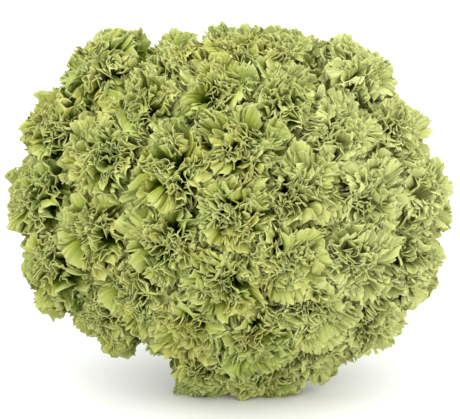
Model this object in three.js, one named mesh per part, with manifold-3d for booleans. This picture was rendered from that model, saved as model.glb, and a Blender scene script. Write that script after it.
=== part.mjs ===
// A florist's bunch of pale green carnations, laid down on a table.
// Thirty-six flowers are packed into one shallow dome of heads. Their stems run together into a bundle
// that two rubber bands hold. The lowest heads and the cut stem ends rest on the table, which is the
// plane z = 0.
//
// Everything is drawn first in the bunch's own frame: +Z runs along the stems towards the flowers, +X to
// the right and +Y up as one looks straight at the flowers, with the origin on the bundle's axis at the
// upper band. One group then leans the whole bunch on to the table. All sizes are in millimetres.

import * as THREE from "three";
import { mergeVertices } from "three/addons/utils/BufferGeometryUtils.js";
import Module from "manifold-3d";

// ---- driving dimensions -------------------------------------------------------------------------

// Rings of flowers, from the middle out. share is the ring's place between the axis and the rim, first
// the direction of its first flower in degrees, and packed the ring's radius in the bundle of stems.
const RINGS = [
  { count: 1, share: 0, first: 0, packed: 0 },
  { count: 6, share: 0.37, first: 22, packed: 4.4 },
  { count: 12, share: 0.71, first: 8, packed: 8.8 },
  { count: 17, share: 1, first: 259.4, packed: 14.7 },
];
const RIM = RINGS.length - 1;
// How far each flower of the rim reaches from the axis, in the order of the rim's directions.
const RIM_REACH = [136, 140, 138, 148, 156, 160, 153, 158, 140, 136, 137, 164, 165, 164, 158, 138, 114];
const PETAL_OVERHANG = 40; // from a rim flower's seat out to its furthest petals
const RIM_HEIGHT = 110; // seats of the rim flowers above the upper band
const DOME_RISE = 55; // seat of the middle flower above those of the rim
const RIM_TILT = 52; // degrees that a rim flower leans outwards
const STRAY_TURN = 3; // degrees by which a flower inside the rim strays round its ring
const STRAY_HEIGHT = 4; // how far a flower inside the rim stands above or below the dome

const HEAD_RADIUS = 33; // a free carnation head is 66 mm across
const CROWDED_RADIUS = 40; // how far petals spread where they fill the corners between heads
const PETAL_LENGTH = 40; // from the seat, where the calyx opens, to a petal's edge
const HEAD_MIDDLE = 22; // height in a head at which neighbours press together
const PETAL_GAP = 0.6; // clear space between two heads
const PRESSED = 6; // how far the table flattens the lowest heads

// clear is the space between the tips of the calyx's teeth and the petals.
const CALYX = {
  length: 26, base: 3.2, belly: 6.4, mouth: 7.4, tip: 8.1, tooth: 4.4, hollow: 7, clear: 0.4,
};
const STEM = { foot: 2.5, neck: 1.9, tail: 300, trim: 5 };
const INNER_FOOT = 2.9; // inner stems are pressed together in the bundle
const LEAF = { length: 84, width: 5.4, keel: 1.3, lift: 24, droop: 92 }; // lift, droop in degrees
// Where an outer stem carries its leaves: the height, how far it strays, and the length as a part of
// LEAF.length.
const LEAF_PLACES = [
  { height: -152, strays: 26, length: 1 },
  { height: -58, strays: 14, length: 1 },
  { height: 34, strays: 6, length: 0.8 },
];

const UPPER_BAND = -9; // heights of the two bands' middles
const LOWER_BAND = -236;
const BAND = { turns: 3, turn: 2.6, thick: 2.2, slack: 0.35, sides: 20 };

const PETAL_COLOUR = "#a9b366";
const STEM_COLOUR = "#7d9765";
const BAND_COLOUR = "#b98d52";

// ---- small helpers ------------------------------------------------------------------------------

const radians = THREE.MathUtils.degToRad;
const lerp = THREE.MathUtils.lerp;
const FULL_TURN = 2 * Math.PI;

/** A repeatable number from 0 to 1 for each seed. */
function chance(seed) {
  const wave = Math.sin(seed * 12.9898 + 4.1414) * 43758.5453;
  return wave - Math.floor(wave);
}

/** A repeatable number from -1 to 1 for each seed. */
const stray = (seed) => 2 * chance(seed) - 1;

const outwards = (turn) => new THREE.Vector3(Math.cos(turn), Math.sin(turn), 0);
const along = (origin, direction, distance) => origin.clone().addScaledVector(direction, distance);

/** The rim's reach in any direction, read between its flowers. */
function rimReach(turn) {
  const step = FULL_TURN / RINGS[RIM].count;
  const place = (((turn - radians(RINGS[RIM].first)) / step) % RIM_REACH.length + RIM_REACH.length)
    % RIM_REACH.length;
  const before = Math.floor(place) % RIM_REACH.length;
  return lerp(RIM_REACH[before], RIM_REACH[(before + 1) % RIM_REACH.length], place - Math.floor(place));
}

const MEAN_REACH = RIM_REACH.reduce((sum, reach) => sum + reach, 0) / RIM_REACH.length;

// ---- where the flowers stand --------------------------------------------------------------------

/** Every flower: its ring, direction, place in the bundle, seat on its calyx and the way that it faces. */
function placeFlowers() {
  const flowers = [];
  RINGS.forEach((ring, number) => {
    for (let i = 0; i < ring.count; i++) {
      const seed = flowers.length + 1;
      const freedom = number < RIM ? 1 : 0;
      const turn = radians(ring.first + (360 * i) / ring.count + freedom * STRAY_TURN * stray(seed));
      const reach = ring.share * (lerp(MEAN_REACH, rimReach(turn), ring.share) - PETAL_OVERHANG);
      const strays = freedom * STRAY_HEIGHT * stray(seed + 100);
      const height = RIM_HEIGHT + DOME_RISE * (1 - ring.share ** 2) + strays;
      const tilt = radians(RIM_TILT * ring.share);
      flowers.push({
        seed,
        ring: number,
        turn,
        packed: ring.packed,
        seat: outwards(turn).multiplyScalar(reach).setZ(height),
        facing: outwards(turn).multiplyScalar(Math.sin(tilt)).setZ(Math.cos(tilt)),
      });
    }
  });
  return flowers;
}

const flowers = placeFlowers();

// ---- the table under the bunch ------------------------------------------------------------------

// The table touches the foot of the bundle and the lowest head of the rim. The bunch leans by the angle
// at which both touch: a height above the table is y cos(lean) + z sin(lean) + rise.
const lowest = flowers.reduce((low, flower) => (flower.seat.y < low.seat.y ? flower : low));
const footY = -(RINGS[RIM].packed + STEM.foot);
const seatClear = PETAL_LENGTH - PRESSED;
const acrossY = lowest.seat.y - footY;
const acrossZ = lowest.seat.z + STEM.tail;
const lean = Math.asin(seatClear / Math.hypot(acrossY, acrossZ)) + Math.atan2(-acrossY, acrossZ);
const rise = -footY * Math.cos(lean) + STEM.tail * Math.sin(lean);
const upFromTable = new THREE.Vector3(0, Math.cos(lean), Math.sin(lean));

// ---- closed bodies from rings of points ---------------------------------------------------------

/**
 * A closed body through rings of points. Each ring is a list of { turn, point } in rising turn, or one
 * point.
 */
function bodyThroughRings(rings) {
  const points = [];
  const faces = [];
  const numbered = rings.map((ring) =>
    ring.map(({ turn, point }) => ({ turn, index: points.push(point) - 1 })));
  for (let r = 0; r + 1 < numbered.length; r++) stitch(numbered[r], numbered[r + 1], faces);
  closeEnd(numbered[0], faces, true);
  closeEnd(numbered[numbered.length - 1], faces, false);
  return geometryOf(points, faces);
}

/** The same ring, started at its point nearest to a turn, with turns that rise from there. */
function startedNear(turn, ring) {
  const gapTo = (corner) => ((corner.turn - turn + 1.5 * FULL_TURN) % FULL_TURN) - FULL_TURN / 2;
  const isNearer = (corner, best) => Math.abs(gapTo(corner)) < Math.abs(gapTo(best));
  const nearer = (best, corner) => (isNearer(corner, best) ? corner : best);
  const first = ring.reduce(nearer);
  const start = ring.indexOf(first);
  return ring.map((_, k) => {
    const { index, turn: own } = ring[(start + k) % ring.length];
    return { index, turn: turn + gapTo(first) + ((own - first.turn + FULL_TURN) % FULL_TURN) };
  });
}

/** Triangles between two rings, walking round both at once. */
function stitch(lower, nextRing, faces) {
  const upper = startedNear(lower[0].turn, nextRing);
  const cornerAt = (ring, k) => ring[k % ring.length];
  const turnAt = (ring, k) => cornerAt(ring, k).turn + FULL_TURN * Math.floor(k / ring.length);
  const stepsIn = (ring) => (ring.length > 1 ? ring.length : 0);
  let i = 0;
  let j = 0;
  while (i < stepsIn(lower) || j < stepsIn(upper)) {
    const from = [cornerAt(lower, i).index, cornerAt(upper, j).index];
    if (j === stepsIn(upper) || (i < stepsIn(lower) && turnAt(lower, i + 1) <= turnAt(upper, j + 1))) {
      i += 1;
      faces.push([from[0], cornerAt(lower, i).index, from[1]]);
    } else {
      j += 1;
      faces.push([from[0], cornerAt(upper, j).index, from[1]]);
    }
  }
}

/** Closes a ring of three points or more with a fan. */
function closeEnd(ring, faces, isBottom) {
  for (let k = 1; k + 1 < ring.length; k++) {
    const fan = [ring[0].index, ring[k].index, ring[k + 1].index];
    faces.push(isBottom ? fan.reverse() : fan);
  }
}

function geometryOf(points, faces) {
  const geometry = new THREE.BufferGeometry();
  const numbers = points.flatMap((point) => point.toArray());
  geometry.setAttribute("position", new THREE.Float32BufferAttribute(numbers, 3));
  geometry.setIndex(faces.flat());
  return geometry;
}

// ---- joining pieces that grow together ----------------------------------------------------------

const wasm = await Module();
wasm.setup();

function solidFrom(geometry) {
  const bare = geometry.clone();
  bare.deleteAttribute("normal");
  bare.deleteAttribute("uv");
  const merged = mergeVertices(bare, 1e-4);
  const vertProperties = new Float32Array(merged.attributes.position.array);
  const triVerts = new Uint32Array(merged.index.array);
  return new wasm.Manifold(new wasm.Mesh({ numProp: 3, vertProperties, triVerts }));
}

function geometryFrom(solid) {
  const { vertProperties, triVerts } = solid.getMesh();
  const geometry = new THREE.BufferGeometry();
  geometry.setAttribute("position", new THREE.BufferAttribute(vertProperties, 3));
  geometry.setIndex(new THREE.BufferAttribute(triVerts, 1));
  return geometry;
}

const joined = (geometries) =>
  geometryFrom(geometries.map(solidFrom).reduce((whole, piece) => whole.add(piece)));

/** The part of a body above the table, flat where the table presses it. */
const pressedOnTable = (geometry) =>
  geometryFrom(solidFrom(geometry).trimByPlane(upFromTable.toArray(), -rise));

// ---- a carnation head ---------------------------------------------------------------------------

// The head is a rosette of petals in whorls, from the guard petals inwards. A whorl's crest has so many
// points to each petal: the first is the notch between two petals, the others are the teeth and waves of
// its edge. Behind the crest a deep fold parts the whorl from the next. share is a place between the
// head's axis (0) and the end of the room that the head has (1), wave the share by which an edge waves in
// and out, length runs from the seat as a part of PETAL_LENGTH, and start, in parts of a petal, sets a
// whorl's petals over the notches of the last.
const WHORLS = [
  { petals: 6, points: 6, start: 0, share: 0.94, wave: 0.06, length: 1 },
  { petals: 6, points: 4, start: 0.5, share: 0.66, wave: 0.06, length: 1.03 },
  { petals: 4, points: 3, start: 0, share: 0.37, wave: 0.05, length: 1.03 },
  { petals: 3, points: 2, start: 0.5, share: 0.14, wave: 0.02, length: 0.98 },
];
// The folds behind the first three whorls.
const FOLDS = [
  { share: 0.54, length: 0.62 },
  { share: 0.33, length: 0.68 },
  { share: 0.14, length: 0.76 },
];
const FOLD_POINTS = 12; // corners of the rings between whorls, which lie under every crest alike
const HEART_LENGTH = 0.84; // length at the head's very middle
const GUARD = { ridge: 0.72, valley: 0.64, length: 0.62 }; // undersides of the guard petals, half way out
const NOTCH = 0.82; // how far a crest is cut back between two petals
const TEETH = [0, 0.02, -0.05, 0.05, -0.04, 0.03]; // added to the length at each point of a petal's edge
const STRAY_LENGTH = 0.03;
const COLLAR = { radius: 7.6, height: 3 };

/** The two directions across a flower's axis: one level in its ring and one that points outwards. */
function acrossAxis(flower) {
  const level = new THREE.Vector3(-Math.sin(flower.turn), Math.cos(flower.turn), 0);
  return { level, outward: level.clone().cross(flower.facing) };
}

/** The planes that keep a head clear of its neighbours. */
function boundsOf(flower) {
  const middle = along(flower.seat, flower.facing, HEAD_MIDDLE);
  return flowers
    .filter((other) => other !== flower)
    .map((other) => {
      const theirs = along(other.seat, other.facing, HEAD_MIDDLE);
      const normal = theirs.clone().sub(middle);
      const reach = normal.length() / 2 - PETAL_GAP / 2;
      normal.normalize();
      return { normal, limit: normal.dot(middle) + reach };
    });
}

/** How far petals can spread from a point of the axis in one direction. */
function roomAt(flower, planes, origin, direction) {
  const openness = flower.ring === RIM ? Math.max(direction.dot(outwards(flower.turn)), 0) : 0;
  const widest = lerp(CROWDED_RADIUS, HEAD_RADIUS, Math.min(2 * openness, 1));
  return planes.reduce((room, { normal, limit }) => {
    const towards = normal.dot(direction);
    return towards > 1e-6 ? Math.min(room, (limit - normal.dot(origin)) / towards) : room;
  }, widest);
}

/** The point of a head at a turn round its axis, a share of the room there, and a length from the seat. */
function headPoint(flower, planes, turn, share, length) {
  const { level, outward } = acrossAxis(flower);
  const direction = outward.clone().multiplyScalar(Math.cos(turn))
    .addScaledVector(level, Math.sin(turn));
  const axisAt = (height) => along(flower.seat, flower.facing, height);
  const roomUp = (height) => Math.max(roomAt(flower, planes, axisAt(height), direction), 0);
  let height = length;
  let spread = 0;
  for (let pass = 0; pass < 3; pass++) {
    spread = Math.min(share * roomUp(height), 0.95 * length);
    height = Math.sqrt(length ** 2 - spread ** 2);
  }
  return along(axisAt(height), direction, Math.min(spread, roomUp(height)));
}

/** A ring of points of a head. placeOf gives each its turn, in parts of a full turn, share and length. */
function headRing(flower, planes, count, start, placeOf) {
  return Array.from({ length: count }, (_, k) => placeOf(k))
    .map((place) => ({ ...place, turn: FULL_TURN * ((place.turn + start) % 1) }))
    .sort((a, b) => a.turn - b.turn)
    .map(({ turn, share, length }) => ({
      turn,
      point: headPoint(flower, planes, turn, share, PETAL_LENGTH * length),
    }));
}

function crestOf(flower, planes, whorl, number, start) {
  const count = whorl.petals * whorl.points;
  const offset = start + whorl.start / whorl.petals;
  return headRing(flower, planes, count, offset, (k) => {
    const seed = flower.seed * 997 + number * 131 + k;
    const place = k % whorl.points;
    const wave = whorl.wave * (place % 2 === 0 ? -1 : 1) * (0.7 + 0.6 * chance(seed));
    const cut = place === 0 ? NOTCH : 1 + TEETH[place] + STRAY_LENGTH * stray(seed + 50);
    return {
      turn: (k + 0.2 * stray(seed + 90)) / count,
      share: Math.min(whorl.share + wave, 1),
      length: whorl.length * cut,
    };
  });
}

/** The undersides of the guard petals: a ridge along each petal and a valley between two. */
function guardUndersides(flower, planes, start) {
  return headRing(flower, planes, FOLD_POINTS, start, (k) => ({
    turn: k / FOLD_POINTS,
    share: k % 2 === 0 ? GUARD.valley : GUARD.ridge,
    length: GUARD.length,
  }));
}

function foldOf(flower, planes, fold, start) {
  return headRing(flower, planes, FOLD_POINTS, start, (k) => ({ turn: k / FOLD_POINTS, ...fold }));
}

/** The ring where the petals leave the calyx. */
function collarOf(flower) {
  const { level, outward } = acrossAxis(flower);
  return Array.from({ length: FOLD_POINTS }, (_, k) => {
    const turn = (FULL_TURN * k) / FOLD_POINTS;
    const point = along(flower.seat, flower.facing, COLLAR.height)
      .addScaledVector(outward, COLLAR.radius * Math.cos(turn))
      .addScaledVector(level, COLLAR.radius * Math.sin(turn));
    return { turn, point };
  });
}

function bloomOf(flower) {
  const planes = boundsOf(flower);
  const plug = { turn: 0, point: along(flower.seat, flower.facing, 1 - CALYX.hollow) };
  const start = chance(flower.seed * 7);
  const whorls = WHORLS.flatMap((whorl, number) => [
    crestOf(flower, planes, whorl, number, start),
    ...FOLDS.slice(number, number + 1).map((fold) => foldOf(flower, planes, fold, start)),
  ]);
  const heart = { turn: 0, point: along(flower.seat, flower.facing, PETAL_LENGTH * HEART_LENGTH) };
  const undersides = guardUndersides(flower, planes, start);
  return pressedOnTable(bodyThroughRings([[plug], collarOf(flower), undersides, ...whorls, [heart]]));
}

// ---- stems, calyxes and leaves ------------------------------------------------------------------

const neckOf = (flower) => along(flower.seat, flower.facing, -CALYX.length);

/**
 * The stem's flare from the upper band (t = 0) to the foot of the calyx (t = 1): a point and the way it
 * runs.
 */
function flareAt(flower, t) {
  const foot = outwards(flower.turn).multiplyScalar(flower.packed);
  const up = new THREE.Vector3(0, 0, 1);
  const neck = neckOf(flower);
  const pull = foot.distanceTo(neck);
  const point = foot.multiplyScalar(2 * t ** 3 - 3 * t ** 2 + 1)
    .addScaledVector(up, pull * (t ** 3 - 2 * t ** 2 + t))
    .addScaledVector(neck, -2 * t ** 3 + 3 * t ** 2)
    .addScaledVector(flower.facing, pull * (t ** 3 - t ** 2));
  return { point, way: up.lerp(flower.facing, t).normalize() };
}

/** The line of a flower's stem, from its cut end to the foot of its calyx. */
function stemLine(flower, bends) {
  const trimmed = flower.ring < RIM ? STEM.trim * chance(flower.seed + 300) : 0;
  const cut = flareAt(flower, 0);
  cut.point.z = trimmed - STEM.tail;
  return [cut, ...Array.from({ length: bends + 1 }, (_, k) => flareAt(flower, k / bends))];
}

/** A ring of points round a line, with so many sides, each corner as far out as radiusOf gives. */
function ringRound(flower, centre, way, sides, radiusOf, heightOf = () => 0) {
  const level = new THREE.Vector3(-Math.sin(flower.turn), Math.cos(flower.turn), 0);
  const outward = level.clone().cross(way).normalize();
  return Array.from({ length: sides }, (_, k) => {
    const turn = (FULL_TURN * k) / sides;
    const point = along(centre, way, heightOf(k))
      .addScaledVector(outward, radiusOf(k) * Math.cos(turn))
      .addScaledVector(level, radiusOf(k) * Math.sin(turn));
    return { turn, point };
  });
}

/** One stem with its calyx: a tube that swells into a cup whose edge has a tooth over each side. */
function stemWithCalyx(flower, sides, bends, foot) {
  const line = stemLine(flower, bends);
  const rings = line.map(({ point, way }, k) => {
    const radius = lerp(foot, STEM.neck, Math.max(k - 1, 0) / bends);
    return ringRound(flower, point, way, sides, () => radius);
  });
  const neck = neckOf(flower);
  const up = flower.facing;
  rings[rings.length - 1] = ringRound(flower, neck, up, sides, () => CALYX.base);
  rings.push(ringRound(flower, along(neck, up, CALYX.length * 0.4), up, sides, () => CALYX.belly));
  const isTip = (k) => k % 2 === 0;
  const edgeRadius = (k) => (isTip(k) ? CALYX.tip : CALYX.mouth);
  const edgeHeight = (k) => COLLAR.height - (isTip(k) ? CALYX.clear : CALYX.tooth);
  rings.push(ringRound(flower, flower.seat, up, 2 * sides, edgeRadius, edgeHeight));
  rings.push([{ turn: 0, point: along(flower.seat, up, -CALYX.hollow) }]);
  return bodyThroughRings(rings);
}

/** A narrow keeled leaf that rises from the stem, bends over and runs out to a point. */
function leafOf(flower, place, seed) {
  const level = new THREE.Vector3(-Math.sin(flower.turn), Math.cos(flower.turn), 0);
  const out = outwards(flower.turn);
  const height = place.height + place.strays * stray(seed);
  const t = Math.max(height / neckOf(flower).z, 0);
  const point = flareAt(flower, t).point;
  point.z += Math.min(height, 0);
  const length = LEAF.length * place.length * (0.85 + 0.3 * chance(seed + 500));
  const segments = 5;
  const rings = [];
  for (let k = 0; k < segments; k++) {
    const s = k / segments;
    const angle = radians(RIM_TILT * t + lerp(LEAF.lift, LEAF.droop, s ** 1.2));
    const way = out.clone().multiplyScalar(Math.sin(angle)).setZ(Math.cos(angle));
    const under = out.clone().multiplyScalar(Math.cos(angle)).setZ(-Math.sin(angle));
    const half = (LEAF.width / 2) * Math.min(0.55 + 2.2 * s, 1) * (1 - s ** 3);
    rings.push([
      { turn: 0, point: along(point, under, LEAF.keel) },
      { turn: 1, point: along(point, level, half) },
      { turn: 2, point: along(point, level, -half) },
    ]);
    point.addScaledVector(way, length / segments);
  }
  rings.push([{ turn: 0, point: point.clone() }]);
  return bodyThroughRings(rings);
}

function leafyStem(flower) {
  const leaves = LEAF_PLACES.map((place, k) => leafOf(flower, place, flower.seed * 17 + k));
  return joined([stemWithCalyx(flower, 5, 6, STEM.foot), ...leaves]);
}

// ---- rubber bands -------------------------------------------------------------------------------

/** A band wound round the bundle: its turns lie side by side as rounded beads. */
function bandAt(height) {
  const inner = (RINGS[RIM].packed + STEM.foot + BAND.slack) / Math.cos(Math.PI / BAND.sides);
  const half = (BAND.turns * BAND.turn) / 2;
  const profile = [new THREE.Vector2(inner, -half)];
  for (let k = 0; k < BAND.turns; k++) {
    const from = -half + k * BAND.turn;
    profile.push(new THREE.Vector2(inner + BAND.thick * 0.7, from + BAND.turn * 0.05));
    profile.push(new THREE.Vector2(inner + BAND.thick, from + BAND.turn * 0.5));
  }
  profile.push(new THREE.Vector2(inner + BAND.thick * 0.7, half));
  profile.push(new THREE.Vector2(inner, half));
  profile.push(profile[0].clone());
  const geometry = new THREE.LatheGeometry(profile, BAND.sides);
  return geometry.rotateX(Math.PI / 2).translate(0, 0, height);
}

// ---- the whole bunch ----------------------------------------------------------------------------

const matt = (color, roughness) => new THREE.MeshStandardMaterial({ color, roughness, metalness: 0 });
const petalMaterial = matt(PETAL_COLOUR, 0.75);
const stemMaterial = matt(STEM_COLOUR, 0.6);
const bandMaterial = matt(BAND_COLOUR, 0.5);

const bunch = new THREE.Group();
const nodeName = (kind, number) => `${kind}_${String(number).padStart(2, "0")}`;

function addPiece(name, geometry, material) {
  const mesh = new THREE.Mesh(geometry, material);
  mesh.name = name;
  bunch.add(mesh);
}

flowers.forEach((flower) => addPiece(nodeName("bloom", flower.seed), bloomOf(flower), petalMaterial));
flowers
  .filter((flower) => flower.ring === RIM)
  .forEach((flower) => addPiece(nodeName("leafy_stem", flower.seed), leafyStem(flower), stemMaterial));
const innerStems = flowers
  .filter((flower) => flower.ring < RIM)
  .map((flower) => stemWithCalyx(flower, 5, 5, INNER_FOOT));
addPiece("inner_stems", joined(innerStems), stemMaterial);
addPiece("upper_band", bandAt(UPPER_BAND), bandMaterial);
addPiece("lower_band", bandAt(LOWER_BAND), bandMaterial);

// The bunch leans on the table, with the flowers towards -Y, centred over the origin.
bunch.rotation.x = Math.PI / 2 - lean;
bunch.position.z = rise;
const laid = new THREE.Group().add(bunch);
const extent = new THREE.Box3().setFromObject(laid, true);
bunch.position.x = -(extent.min.x + extent.max.x) / 2;
bunch.position.y = -(extent.min.y + extent.max.y) / 2;

export default laid;
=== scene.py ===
"""The looks of a florist's bunch of pale green carnations that lies on a table.

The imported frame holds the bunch's solids. This script repeats the few driving dimensions that place the
flowers, and dresses each solid: every head becomes whorls of thin, ruffled, toothed petals inside the room
that its neighbours leave it, and every stem gets its calyx, joints and leaves. Shapes are worked out in
millimetres in the bunch's own frame, where +Z runs along the stems towards the flowers, and are then laid on
the table in metres.
"""

import itertools
import logging
import math
from dataclasses import dataclass, field
from enum import Enum
from typing import Callable, Sequence

import bmesh
import bpy
import numpy as np
from mathutils import Matrix, Vector


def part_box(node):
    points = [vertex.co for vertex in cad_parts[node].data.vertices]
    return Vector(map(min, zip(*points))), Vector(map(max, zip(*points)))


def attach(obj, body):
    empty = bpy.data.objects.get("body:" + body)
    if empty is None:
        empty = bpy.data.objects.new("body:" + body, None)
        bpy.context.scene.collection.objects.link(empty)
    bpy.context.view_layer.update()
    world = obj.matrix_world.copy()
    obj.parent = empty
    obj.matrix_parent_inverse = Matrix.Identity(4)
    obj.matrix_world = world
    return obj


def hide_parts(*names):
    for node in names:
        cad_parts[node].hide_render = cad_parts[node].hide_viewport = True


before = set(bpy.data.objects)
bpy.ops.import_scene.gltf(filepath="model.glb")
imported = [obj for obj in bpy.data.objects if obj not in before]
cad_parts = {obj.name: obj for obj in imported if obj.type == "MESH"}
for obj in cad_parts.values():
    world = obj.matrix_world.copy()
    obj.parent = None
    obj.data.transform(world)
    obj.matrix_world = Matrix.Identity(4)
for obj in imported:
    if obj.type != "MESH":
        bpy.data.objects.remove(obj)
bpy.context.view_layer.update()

log = logging.getLogger("carnations")

MM = 0.001
FULL_TURN = 2.0 * math.pi
GOLDEN_ANGLE = FULL_TURN * (1.0 - 2.0 / (1.0 + math.sqrt(5.0)))
UP = np.array((0.0, 0.0, 1.0))


# ---- repeatable irregularity ----


def chance(seed: float | np.ndarray) -> float | np.ndarray:
    """Returns a repeatable number from 0 to 1 for each seed: what a very steep sine leaves past the point."""
    wave = np.sin(seed * 12.9898 + 4.1414) * 43758.5453
    return wave - np.floor(wave)


def stray(seed: float) -> float:
    """Returns a repeatable number from -1 to 1 for each seed."""
    return 2.0 * chance(seed) - 1.0


def lerp(start: float, end: float, share: float) -> float:
    """Returns the value at a share of the way from start to end."""
    return start + (end - start) * share


def smooth(low: float, high: float, value: np.ndarray) -> np.ndarray:
    """Returns 0 below low, 1 above high and an even S-curve between."""
    t = np.clip((value - low) / (high - low), 0.0, 1.0)
    return t * t * (3.0 - 2.0 * t)


# ---- driving dimensions, as in the part's source, in millimetres and degrees ----


@dataclass(frozen=True)
class Ring:
    """A ring of flowers.

    Attributes:
        count: how many flowers stand in the ring.
        share: the ring's place between the bunch's axis and its rim.
        first: direction of the first flower, in degrees.
        packed: radius of the ring of stems in the bundle.
    """

    count: int
    share: float
    first: float
    packed: float


RINGS = (
    Ring(1, 0.0, 0.0, 0.0),
    Ring(6, 0.37, 22.0, 4.4),
    Ring(12, 0.71, 8.0, 8.8),
    Ring(17, 1.0, 259.4, 14.7),
)
RIM = len(RINGS) - 1
RIM_REACH = (136, 140, 138, 148, 156, 160, 153, 158, 140, 136, 137, 164, 165, 164, 158, 138, 114)
MEAN_REACH = sum(RIM_REACH) / len(RIM_REACH)
PETAL_OVERHANG = 40.0
RIM_HEIGHT = 110.0
DOME_RISE = 55.0
RIM_TILT = 52.0
STRAY_TURN = 3.0
STRAY_HEIGHT = 4.0

NOTCH_SIDE = 40.0
OPEN_RADII = (27, 33, 26, 25, 28, 26, 30, 22, 22, 28, 23, 25, 33, 25, 26, 22, 22)
CORNER_RADIUS = 46.0
NEAR_HEADS = 88.0
PETAL_LENGTH = 40.0
HEAD_MIDDLE = 22.0
PETAL_GAP = 0.6
PRESSED = 6.0
TABLE_GAP = 0.3

CALYX_LENGTH = 26.0
STEM_FOOT = 2.4
STEM_NECK = 1.8
STEM_TAIL = 300.0
STEM_TRIM = 5.0
CAD_STEM_FOOT = 2.5
UPPER_BAND = -9.0
LOWER_BAND = -236.0


@dataclass(frozen=True)
class LeafPlace:
    """Where the outer stems carry a leaf.

    Attributes:
        height: on the stem.
        strays: how far that strays from stem to stem.
        length: the leaf's, as a share of the full length.
    """

    height: float
    strays: float
    length: float


LEAF_PLACES = (LeafPlace(-152.0, 26.0, 1.0), LeafPlace(-58.0, 14.0, 1.0), LeafPlace(34.0, 6.0, 0.8))
LEAF_LENGTH = 84.0
LEAF_LIFT = 24.0
LEAF_DROOP = 92.0


# ---- where the flowers stand ----


@dataclass(frozen=True)
class Flower:
    """One flower of the bunch, in the bunch's own frame and in millimetres.

    Attributes:
        seed: its number, from 1, which also seeds what is irregular about it.
        ring: the ring that it stands in.
        out: the direction from the bunch's axis to it.
        packed: how far from the axis its stem lies in the bundle.
        seat: the point where its calyx opens.
        facing: the way it faces.
        level: the direction across it that lies in its ring.
        outward: the direction across it that points away from the bunch's axis.
    """

    seed: int
    ring: int
    out: np.ndarray
    packed: float
    seat: np.ndarray
    facing: np.ndarray
    level: np.ndarray
    outward: np.ndarray

    @property
    def rim(self) -> bool:
        """Whether it stands in the outermost ring."""
        return self.ring == RIM

    @property
    def middle(self) -> np.ndarray:
        """The point at which this head presses against its neighbours."""
        return self.seat + self.facing * HEAD_MIDDLE

    @property
    def neck(self) -> np.ndarray:
        """The foot of the calyx."""
        return self.seat - self.facing * CALYX_LENGTH

    def points(self, height: np.ndarray, outward: np.ndarray, level: np.ndarray) -> np.ndarray:
        """Returns the points that lie so far from the seat in the flower's three directions."""
        away = np.outer(outward, self.outward)
        return self.seat + np.outer(height, self.facing) + away + np.outer(level, self.level)

    def flare(self, t: float) -> tuple[np.ndarray, np.ndarray]:
        """Finds a place on the stem between the upper band and the calyx.

        Args:
            t: 0 at the band, 1 at the foot of the calyx.

        Returns:
            The point, and the unit direction in which the stem runs there.
        """
        foot = self.out * self.packed
        pull = float(np.linalg.norm(foot - self.neck))
        point = (
            foot * (2 * t**3 - 3 * t**2 + 1)
            + UP * pull * (t**3 - 2 * t**2 + t)
            + self.neck * (3 * t**2 - 2 * t**3)
            + self.facing * pull * (t**3 - t**2)
        )
        way = UP * (1 - t) + self.facing * t
        return point, way / np.linalg.norm(way)


def rim_reach(turn: float) -> float:
    """Finds how far the rim reaches in a direction, read between its flowers.

    Args:
        turn: the direction, in radians.

    Returns:
        The distance from the bunch's axis.
    """
    step = FULL_TURN / RINGS[RIM].count
    place = ((turn - math.radians(RINGS[RIM].first)) / step) % len(RIM_REACH)
    before = math.floor(place) % len(RIM_REACH)
    return lerp(RIM_REACH[before], RIM_REACH[(before + 1) % len(RIM_REACH)], place - math.floor(place))


def place_flowers() -> list[Flower]:
    """Returns every flower of the bunch, from the middle outwards."""
    flowers: list[Flower] = []
    for number, ring in enumerate(RINGS):
        for i in range(ring.count):
            seed = len(flowers) + 1
            strays = number < RIM
            turn = math.radians(ring.first + 360.0 * i / ring.count + strays * STRAY_TURN * stray(seed))
            reach = ring.share * (lerp(MEAN_REACH, rim_reach(turn), ring.share) - PETAL_OVERHANG)
            rise = DOME_RISE * (1.0 - ring.share**2) + strays * STRAY_HEIGHT * stray(seed + 100)
            tilt = math.radians(RIM_TILT * ring.share)
            out = np.array((math.cos(turn), math.sin(turn), 0.0))
            facing = out * math.sin(tilt) + UP * math.cos(tilt)
            level = np.array((-math.sin(turn), math.cos(turn), 0.0))
            seat = out * reach + UP * (RIM_HEIGHT + rise)
            across = np.cross(level, facing)
            flowers.append(Flower(seed, number, out, ring.packed, seat, facing, level, across))
    return flowers


@dataclass(frozen=True)
class Wall:
    """What keeps a head in: an uneven surface that it shares with a neighbour, or the table.

    Attributes:
        normal: the direction out of the head.
        limit: the surface's mean distance from the bunch's origin along that direction.
        pair: a number that both heads give to their shared surface.
        sign: 1 for one of the two heads, -1 for the other, and 0 for a flat surface.
        wave: height of each of the three waves that make the surface uneven.
        grain: length of those waves, for each radian.
        mingle: how far petals reach in among those of the neighbour.
    """

    normal: np.ndarray
    limit: float
    pair: float
    sign: float
    wave: float = 2.16
    grain: float = 4.3
    mingle: float = 3.0

    def over(self, points: np.ndarray) -> np.ndarray:
        """Returns how far each point lies beyond the surface."""
        x, y, z = (points / self.grain).T
        own = self.pair * 0.7
        waves = np.sin(x + 0.5 * y + own) + np.sin(y - 0.6 * z + 2.0 * own) + np.sin(z + 0.7 * x + 3.0 * own)
        beyond = points @ self.normal - self.limit
        return beyond - self.sign * self.wave * waves - abs(self.sign) * self.mingle


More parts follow.
